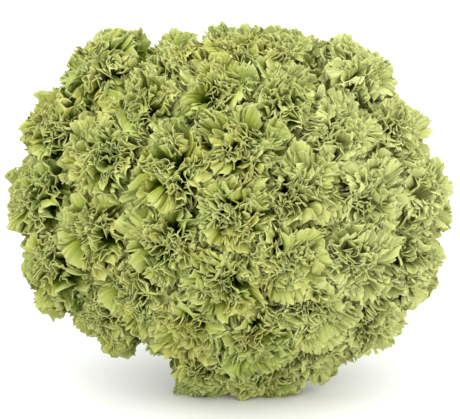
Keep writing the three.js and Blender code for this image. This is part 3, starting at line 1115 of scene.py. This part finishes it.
    def build(self, finish: bpy.types.Material) -> bpy.types.Object:
        """Builds the head.

        Args:
            finish: the petals' material.

        Returns:
            The piece, which stands for the head's solid.
        """
        bm = new_mesh()
        layers = [bm.verts.layers.float.new(mark) for mark in PETAL_MARKS]
        # Painted light: heads towards +X, the bunch's lit side, get paler petals and weaker painted shade.
        aside = (float(self.flower.seat[0]) - self.painted_light_from) / self.painted_light_over
        painted_light = self.painted_light * min(max(aside, 0.0), 1.0)
        worn = 0.55 * max(0.0, chance(self.flower.seed * 3.3) - 0.55) / 0.45
        for petal in self.petals():
            verts = shaped_sheet(bm, petal.columns, self.rows, self.petal_shape(petal))
            tone = chance(petal.seed + 9.0)
            age = worn * (1.0 - petal.share) * chance(petal.seed + 11.0)
            # Painted shade for petals deep in the head, weaker where the painted light of the bunch's lit side
            # falls.
            painted_shades = self.depth(np.array([vert.co for vert in verts])) * (1.0 - 0.9 * painted_light)
            for vert, depth in zip(verts, painted_shades):
                for layer, value in zip(layers, (tone, age, painted_light, depth)):
                    vert[layer] = value
        name = f"{self.flower.seed:02d}"
        piece = finished_piece("head_" + name, bm, self.bunch.to_frame, [finish])
        give_wall(piece, self.thickness)
        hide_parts("bloom_" + name)
        return piece


# ---- stems ----


class Skin(Enum):
    """Which of a stem's two materials a face has."""

    STEM = 0
    LEAF = 1


@dataclass
class Stem:
    """A carnation's stem with its joints, calyx, bracts and leaves.

    Attributes:
        flower: the flower that it carries.
        bunch: the bunch that it belongs to.
        leafy: whether it keeps its leaves.
        sides: faces round the stem.
        joint_height: half the height of a swollen joint.
        joint_swell: how much wider it is than the stem.
        bare_joints: between which heights the joints of a stem without leaves lie.
        calyx_profile: heights on the calyx, from the seat, with its radii there.
        calyx_outside: the share of its sheet that makes the outer wall.
        calyx_tooth: depth of the calyx's five teeth.
        calyx_wall: how far inside the outer wall the inner one lies.
        calyx_inside: how far down the inner wall goes.
        bracts: how many small scales clasp the calyx's foot.
        bract_half: half the width of a scale.
        leaf_width: widest width of a leaf.
        leaf_clear: how far the middle of a leaf stays above the table.
        leaf_steps: straight steps in which a leaf's bend is worked out.
        leaf_wall: thickness of a leaf or scale.
    """

    flower: Flower
    bunch: Bunch
    leafy: bool
    sides: int = 12
    joint_height: float = 3.2
    joint_swell: float = 0.45
    bare_joints: tuple[tuple[float, float], ...] = ((-190.0, -150.0), (-90.0, -40.0))
    calyx_profile: tuple[tuple[float, float], ...] = (
        (-26.5, 1.6), (-26.0, 2.9), (-24.0, 4.6), (-20.0, 5.7),
        (-13.0, 6.3), (-6.0, 6.7), (0.0, 7.3), (4.2, 7.9),
    )
    calyx_outside: float = 0.7
    calyx_tooth: float = 4.6
    calyx_wall: float = 0.8
    calyx_inside: float = 9.0
    bracts: int = 4
    bract_half: float = 4.6
    leaf_width: float = 6.2
    leaf_clear: float = 0.4
    leaf_steps: int = 40
    leaf_wall: float = 0.45

    def leaf_height(self, number: int) -> float:
        """Returns the height at which the stem carries a leaf, as in the part's source."""
        place = LEAF_PLACES[number]
        return place.height + place.strays * stray(self.flower.seed * 17 + number)

    def joints(self) -> list[float]:
        """Returns the heights of the stem's swollen joints."""
        if self.leafy:
            return [self.leaf_height(number) for number in range(len(LEAF_PLACES))]
        seeds = (self.flower.seed + 40, self.flower.seed + 50)
        return [lerp(*span, chance(seed)) for span, seed in zip(self.bare_joints, seeds)]

    def line(self) -> list[tuple[np.ndarray, np.ndarray, float]]:
        """Returns stations along the stem: a point, the way that it runs, and the stem's radius there."""
        flower, joints = self.flower, self.joints()
        cut = (STEM_TRIM * chance(flower.seed + 300) if not flower.rim else 0.0) - STEM_TAIL
        top = float(flower.neck[2])
        near = {joint + k * self.joint_height for joint in joints for k in (-1.6, -0.8, 0.0, 0.8, 1.6)}
        heights = near.union(np.linspace(cut, 0.0, 10).tolist())
        shares = {height / top for height in near}.union(np.linspace(0.0, 1.0, 15).tolist())
        stations = [(flower.out * flower.packed + UP * h, UP, h) for h in sorted(heights) if cut <= h < 0.0]
        stations += [(*flower.flare(t), t * top) for t in sorted(shares) if t >= 0.0]
        line = []
        for point, way, height in stations:
            swell = sum(math.exp(-(((height - joint) / self.joint_height) ** 2)) for joint in joints)
            radius = lerp(STEM_FOOT, STEM_NECK, max(height, 0.0) / top) * (1.0 + self.joint_swell * swell)
            line.append((point, way, radius))
        return line

    def ring_matrix(self, point: np.ndarray, way: np.ndarray, radius: float) -> Matrix:
        """Places a unit ring across the stem.

        Args:
            point: its middle.
            way: the direction that the stem runs in.
            radius: of the stem.

        Returns:
            The ring's placing.
        """
        level = self.flower.level
        across = np.cross(level, way)
        rows = np.stack((across / np.linalg.norm(across) * radius, level * radius, way), axis=1)
        matrix = Matrix(rows.tolist()).to_4x4()
        matrix.translation = point.tolist()
        return matrix

    def add_stalk(self, bm: bmesh.types.BMesh) -> None:
        """Adds the stalk, as a ring extruded from station to station.

        Args:
            bm: the mesh being built.
        """
        line = self.line()
        placed = self.ring_matrix(*line[0])
        disc = bmesh.ops.create_circle(bm, cap_ends=True, segments=self.sides, radius=1.0, matrix=placed)
        disc = disc["verts"]
        edges = [edge for edge in bm.edges if all(vert in disc for vert in edge.verts)]
        made = list(disc)
        for station in line[1:]:
            target = self.ring_matrix(*station)
            grown = bmesh.ops.extrude_edge_only(bm, edges=edges)["geom"]
            verts = [part for part in grown if isinstance(part, bmesh.types.BMVert)]
            edges = [part for part in grown if isinstance(part, bmesh.types.BMEdge)]
            edges = [edge for edge in edges if set(verts).issuperset(edge.verts)]
            bmesh.ops.transform(bm, matrix=target @ placed.inverted(), verts=verts)
            placed = target
            made += verts
        bmesh.ops.contextual_create(bm, geom=edges)
        faces = {face for vert in made for face in vert.link_faces}
        bmesh.ops.recalc_face_normals(bm, faces=list(faces))

    def add_calyx(self, bm: bmesh.types.BMesh) -> None:
        """Adds the calyx: a ribbed green cup whose edge ends in five teeth, with an inner wall.

        Args:
            bm: the mesh being built.
        """
        teeth = 5
        heights, radii = (np.array(column) for column in zip(*self.calyx_profile))
        steps = np.linspace(0.0, 1.0, len(heights))

        def shape(u: np.ndarray, v: np.ndarray) -> np.ndarray:
            """Returns points round the cup, up its outside and down its inside."""
            turn = math.pi * u
            outside = np.minimum(v / self.calyx_outside, 1.0)
            inside = np.clip((v - self.calyx_outside) / (1.0 - self.calyx_outside), 0.0, 1.0)
            tooth = np.abs(((turn * teeth / FULL_TURN) % 1.0) - 0.5) * 2.0
            height = np.interp(outside, steps, heights)
            height = height - self.calyx_tooth * tooth * smooth(0.75, 1.0, outside)
            radius = np.interp(outside, steps, radii) * (1.0 + 0.025 * np.cos(2.0 * teeth * turn))
            radius = radius + 0.5 * (1.0 - tooth) * smooth(0.85, 1.0, outside)
            radius = radius - self.calyx_wall * smooth(0.0, 0.3, inside)
            height = height - self.calyx_inside * inside
            return self.flower.points(height, radius * np.cos(turn), radius * np.sin(turn))

        shaped_tube(bm, 40, 20, shape)

    def add_bract(self, bm: bmesh.types.BMesh, number: int) -> None:
        """Adds one of the small pointed scales that clasp the foot of the calyx.

        Args:
            bm: the mesh being built.
            number: which of the scales it is.
        """
        turn = FULL_TURN * (number + 0.15 * stray(self.flower.seed + number)) / self.bracts
        length = 11.0 - 3.0 * (number % 2)

        def shape(u: np.ndarray, v: np.ndarray) -> np.ndarray:
            """Returns the scale's points."""
            half = self.bract_half * np.sqrt(np.clip(1.0 - v, 0.0, 1.0)) * (0.75 + 0.35 * v)
            height = -CALYX_LENGTH - 1.0 + length * v
            radius = np.interp(height, *zip(*self.calyx_profile)) + 0.35 + 1.0 * v**3
            angle = turn + u * half / np.maximum(radius, 1.0)
            return self.flower.points(height, radius * np.cos(angle), radius * np.sin(angle))

        shaped_sheet(bm, 6, 6, shape)

    def add_leaf(self, bm: bmesh.types.BMesh, number: int) -> None:
        """Adds a narrow, channelled leaf that leaves a joint, bends over and curls at its tip.

        Args:
            bm: the mesh being built.
            number: which of the stem's leaves it is.
        """
        flower, seed = self.flower, self.flower.seed * 17 + number
        height = self.leaf_height(number)
        t = max(height / float(flower.neck[2]), 0.0)
        start = flower.flare(t)[0] + UP * min(height, 0.0)
        length = LEAF_LENGTH * LEAF_PLACES[number].length * (0.85 + 0.3 * chance(seed + 500))
        steps = np.linspace(0.0, 1.0, self.leaf_steps + 1)
        angles = np.radians(RIM_TILT * t + LEAF_LIFT + (LEAF_DROOP - LEAF_LIFT) * steps**1.2)
        ways = np.outer(np.sin(angles), flower.out) + np.outer(np.cos(angles), UP)
        walked = np.cumsum(ways[:-1] * length / self.leaf_steps, axis=0)
        points = start + np.concatenate((np.zeros((1, 3)), walked))

        def shape(u: np.ndarray, v: np.ndarray) -> np.ndarray:
            """Returns the leaf's points."""
            centre = np.stack([np.interp(v, steps, points[:, k]) for k in range(3)], axis=1)
            angle = np.interp(v, steps, angles)
            under = np.outer(np.cos(angle), flower.out) - np.outer(np.sin(angle), UP)
            half = self.leaf_width / 2.0 * np.minimum(0.5 + 2.6 * v, 1.0) * np.clip(1.0 - v**3.2, 0.02, 1.0)
            curl = 0.35 * np.sin(2.2 * FULL_TURN * v + seed) * np.abs(u) * v
            channel = 0.42 * half * (1.0 - np.abs(u)) + curl
            leaf = centre + np.outer(u * half, flower.level) + under * channel[:, None]
            return self.bunch.lifted(leaf, self.leaf_clear)

        leaf = shaped_sheet(bm, 6, 22, shape)
        for face in {face for vert in leaf for face in vert.link_faces}:
            face.material_index = Skin.LEAF.value


class StemMaker:
    """Builds the stems as pieces that stand for the CAD's solids."""

    def __init__(self, bunch: Bunch, stem: bpy.types.Material, leaf: bpy.types.Material) -> None:
        """Keeps the bunch and the two materials."""
        self.bunch = bunch
        self.materials = [stem, leaf]

    def build(self, name: str, node: str, stems: Sequence[Stem]) -> bpy.types.Object:
        """Builds one piece from one stem or more.

        Args:
            name: the piece's name.
            node: the solid that it stands for.
            stems: what it is made of.

        Returns:
            The piece of the stalks and calyxes. Its leaves and bracts are a second piece that goes with it.
        """
        firm, thin = new_mesh(), new_mesh()
        for stem in stems:
            stem.add_stalk(firm)
            stem.add_calyx(firm)
            for number in range(stem.bracts):
                stem.add_bract(thin, number)
            for number in range(len(LEAF_PLACES) if stem.leafy else 0):
                stem.add_leaf(thin, number)
        piece = finished_piece(name, firm, self.bunch.to_frame, self.materials)
        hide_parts(node)
        leaves = finished_piece(name + "_leaves", thin, self.bunch.to_frame, self.materials)
        give_wall(leaves, stems[0].leaf_wall)
        return piece


# ---- rubber bands ----


@dataclass
class RubberBand:
    """A rubber band wound round the bundle, which spans straight from stem to stem.

    Attributes:
        height: of its middle.
        turns: how often it goes round.
        pitch: height of one turn.
        width: half the height of its rounded section.
        depth: half the depth of its section.
        wander: how far a turn rises and falls on its way round.
    """

    height: float
    turns: int = 3
    pitch: float = 2.6
    width: float = 1.25
    depth: float = 1.0
    wander: float = 0.35

    def build(self, name: str, bunch: Bunch, finish: bpy.types.Material) -> bpy.types.Object:
        """Builds the band.

        Args:
            name: of the solid that it stands for.
            bunch: the bunch that it ties.
            finish: its material.

        Returns:
            The piece.
        """
        bm = new_mesh()
        for number in range(self.turns):
            shaped_tube(bm, 4 * RINGS[RIM].count, 10, self.turn_shape(number))
        bmesh.ops.recalc_face_normals(bm, faces=bm.faces)
        piece = finished_piece(name + "_rubber", bm, bunch.to_frame, [finish])
        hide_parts(name)
        return piece

    def turn_shape(self, number: int) -> Shape:
        """Gives the shape of one turn, drawn tight over the outer stems.

        Args:
            number: of the turn.

        Returns:
            A function from places round the bundle and round the section to points.
        """
        stems = RINGS[RIM].count
        first = math.radians(RINGS[RIM].first)
        tight = RINGS[RIM].packed + STEM_FOOT + self.depth
        middle = self.pitch * (number - (self.turns - 1) / 2.0)

        def shape(u: np.ndarray, v: np.ndarray) -> np.ndarray:
            """Returns the turn's points."""
            turn, section = math.pi * u, FULL_TURN * v
            off = ((turn - first) * stems / FULL_TURN + 0.5) % 1.0 - 0.5
            radius = tight * math.cos(math.pi / stems) / np.cos((0.5 - np.abs(off)) * FULL_TURN / stems)
            radius = radius - self.depth * np.cos(section)
            height = self.height + (middle + self.wander * np.sin(turn + 2.1 * number))
            height = height + self.width * np.sin(section)
            return np.stack((radius * np.cos(turn), radius * np.sin(turn), height), axis=1)

        return shape


# ---- the studio ----


@dataclass(frozen=True)
class SoftLight:
    """A square soft light.

    Attributes:
        name: of the light.
        place: where it stands, from the middle of the dome.
        side: of its square.
        power: in watts.
        colour: of its light.
    """

    name: str
    place: tuple[float, float, float]
    side: float
    power: float
    colour: str


@dataclass
class Studio:
    """Seamless white paper, lit from the right front, the left front and above, in bright white air.

    Attributes:
        lights: a key light, a fill light and a light from above.
        air: brightness of the light that comes from everywhere.
        dome: the middle of the dome's face, in millimetres in the bunch's frame.
        distance: from the camera to there.
        picture_width: what the picture's width shows at that distance.
        sensor: width of the camera's sensor, in millimetres.
        paper: radius of the paper.
        paper_sides: of its outline.
    """

    lights: tuple[SoftLight, ...] = (
        SoftLight("key", (1.0, -0.95, 0.5), 2.2, 10.5, "#fffaf0"),
        SoftLight("fill", (-1.0, -1.2, 0.8), 1.6, 8.5, "#f8faff"),
        SoftLight("top", (-0.1, 0.1, 1.6), 1.8, 19.0, "#ffffff"),
    )
    air: float = 1.12
    dome: tuple[float, float, float] = (-2.0, 3.5, RIM_HEIGHT + 25.0)
    distance: float = 1.2
    picture_width: float = 0.340
    sensor: float = 36.0
    paper: float = 60.0
    paper_sides: int = 64

    def floor(self) -> bpy.types.Object:
        """Returns the paper that the bunch lies on."""
        bm = bmesh.new()
        bmesh.ops.create_circle(bm, cap_ends=True, segments=self.paper_sides, radius=self.paper)
        mesh = bpy.data.meshes.new("paper")
        bm.to_mesh(mesh)
        bm.free()
        mesh.materials.append(PaperFinish().make())
        paper = bpy.data.objects.new("paper", mesh)
        bpy.context.scene.collection.objects.link(paper)
        return paper

    def stand(
        self, name: str, data: bpy.types.Light | bpy.types.Camera, place: Vector, way: Vector
    ) -> bpy.types.Object:
        """Sets up a light or the camera.

        Args:
            name: its name.
            data: the light or camera.
            place: where it stands.
            way: the direction that it points in.

        Returns:
            The object.
        """
        item = bpy.data.objects.new(name, data)
        item.location = place
        item.rotation_euler = way.to_track_quat("-Z", "Y").to_euler()
        bpy.context.scene.collection.objects.link(item)
        return item

    def build(self, bunch: Bunch) -> None:
        """Sets up the paper, the air, the lights and the camera, which looks straight at the flowers.

        Args:
            bunch: what is shown.
        """
        scene = bpy.context.scene
        scene.view_settings.view_transform = "Standard"
        scene.view_settings.look = "None"
        self.floor()
        scene.world = scene.world or bpy.data.worlds.new("air")
        scene.world.use_nodes = True
        background = scene.world.node_tree.nodes["Background"]
        background.inputs["Color"].default_value = linear("#ffffff")
        background.inputs["Strength"].default_value = self.air
        facing = (bunch.to_frame.to_3x3() @ Vector((0.0, 0.0, 1.0))).normalized()
        aim = bunch.to_frame @ Vector(self.dome)
        for light in self.lights:
            data = bpy.data.lights.new(light.name, "AREA")
            data.size = light.side
            data.energy = light.power
            data.color = linear(light.colour)[:3]
            self.stand(light.name, data, aim + Vector(light.place), -Vector(light.place))
        data = bpy.data.cameras.new("camera")
        data.sensor_width = self.sensor
        data.lens = self.sensor * self.distance / self.picture_width
        data.clip_end = 50.0
        scene.camera = self.stand("camera", data, aim + facing * self.distance, -facing)


# ---- everything ----


def main() -> None:
    """Builds the dressed bunch in the studio."""
    logging.basicConfig(level=logging.INFO, format="%(name)s: %(message)s")
    low, high = (Vector(corner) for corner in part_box("upper_band"))
    bunch = Bunch((low + high) / 2.0)
    finishes = (PetalFinish(), StemFinish(), LeafFinish(), RubberFinish())
    petal, stem, leaf, rubber = (finish.make() for finish in finishes)
    for flower in bunch.flowers:
        CarnationHead(flower, bunch).build(petal)
    maker = StemMaker(bunch, stem, leaf)
    for flower in bunch.flowers:
        if flower.rim:
            name = f"stem_{flower.seed:02d}"
            maker.build(name, "leafy_" + name, [Stem(flower, bunch, True)])
    inner = [Stem(flower, bunch, False) for flower in bunch.flowers if not flower.rim]
    maker.build("stems_inside", "inner_stems", inner)
    RubberBand(UPPER_BAND).build("upper_band", bunch, rubber)
    RubberBand(LOWER_BAND).build("lower_band", bunch, rubber)
    Studio().build(bunch)


if __name__ == "__main__":
    main()
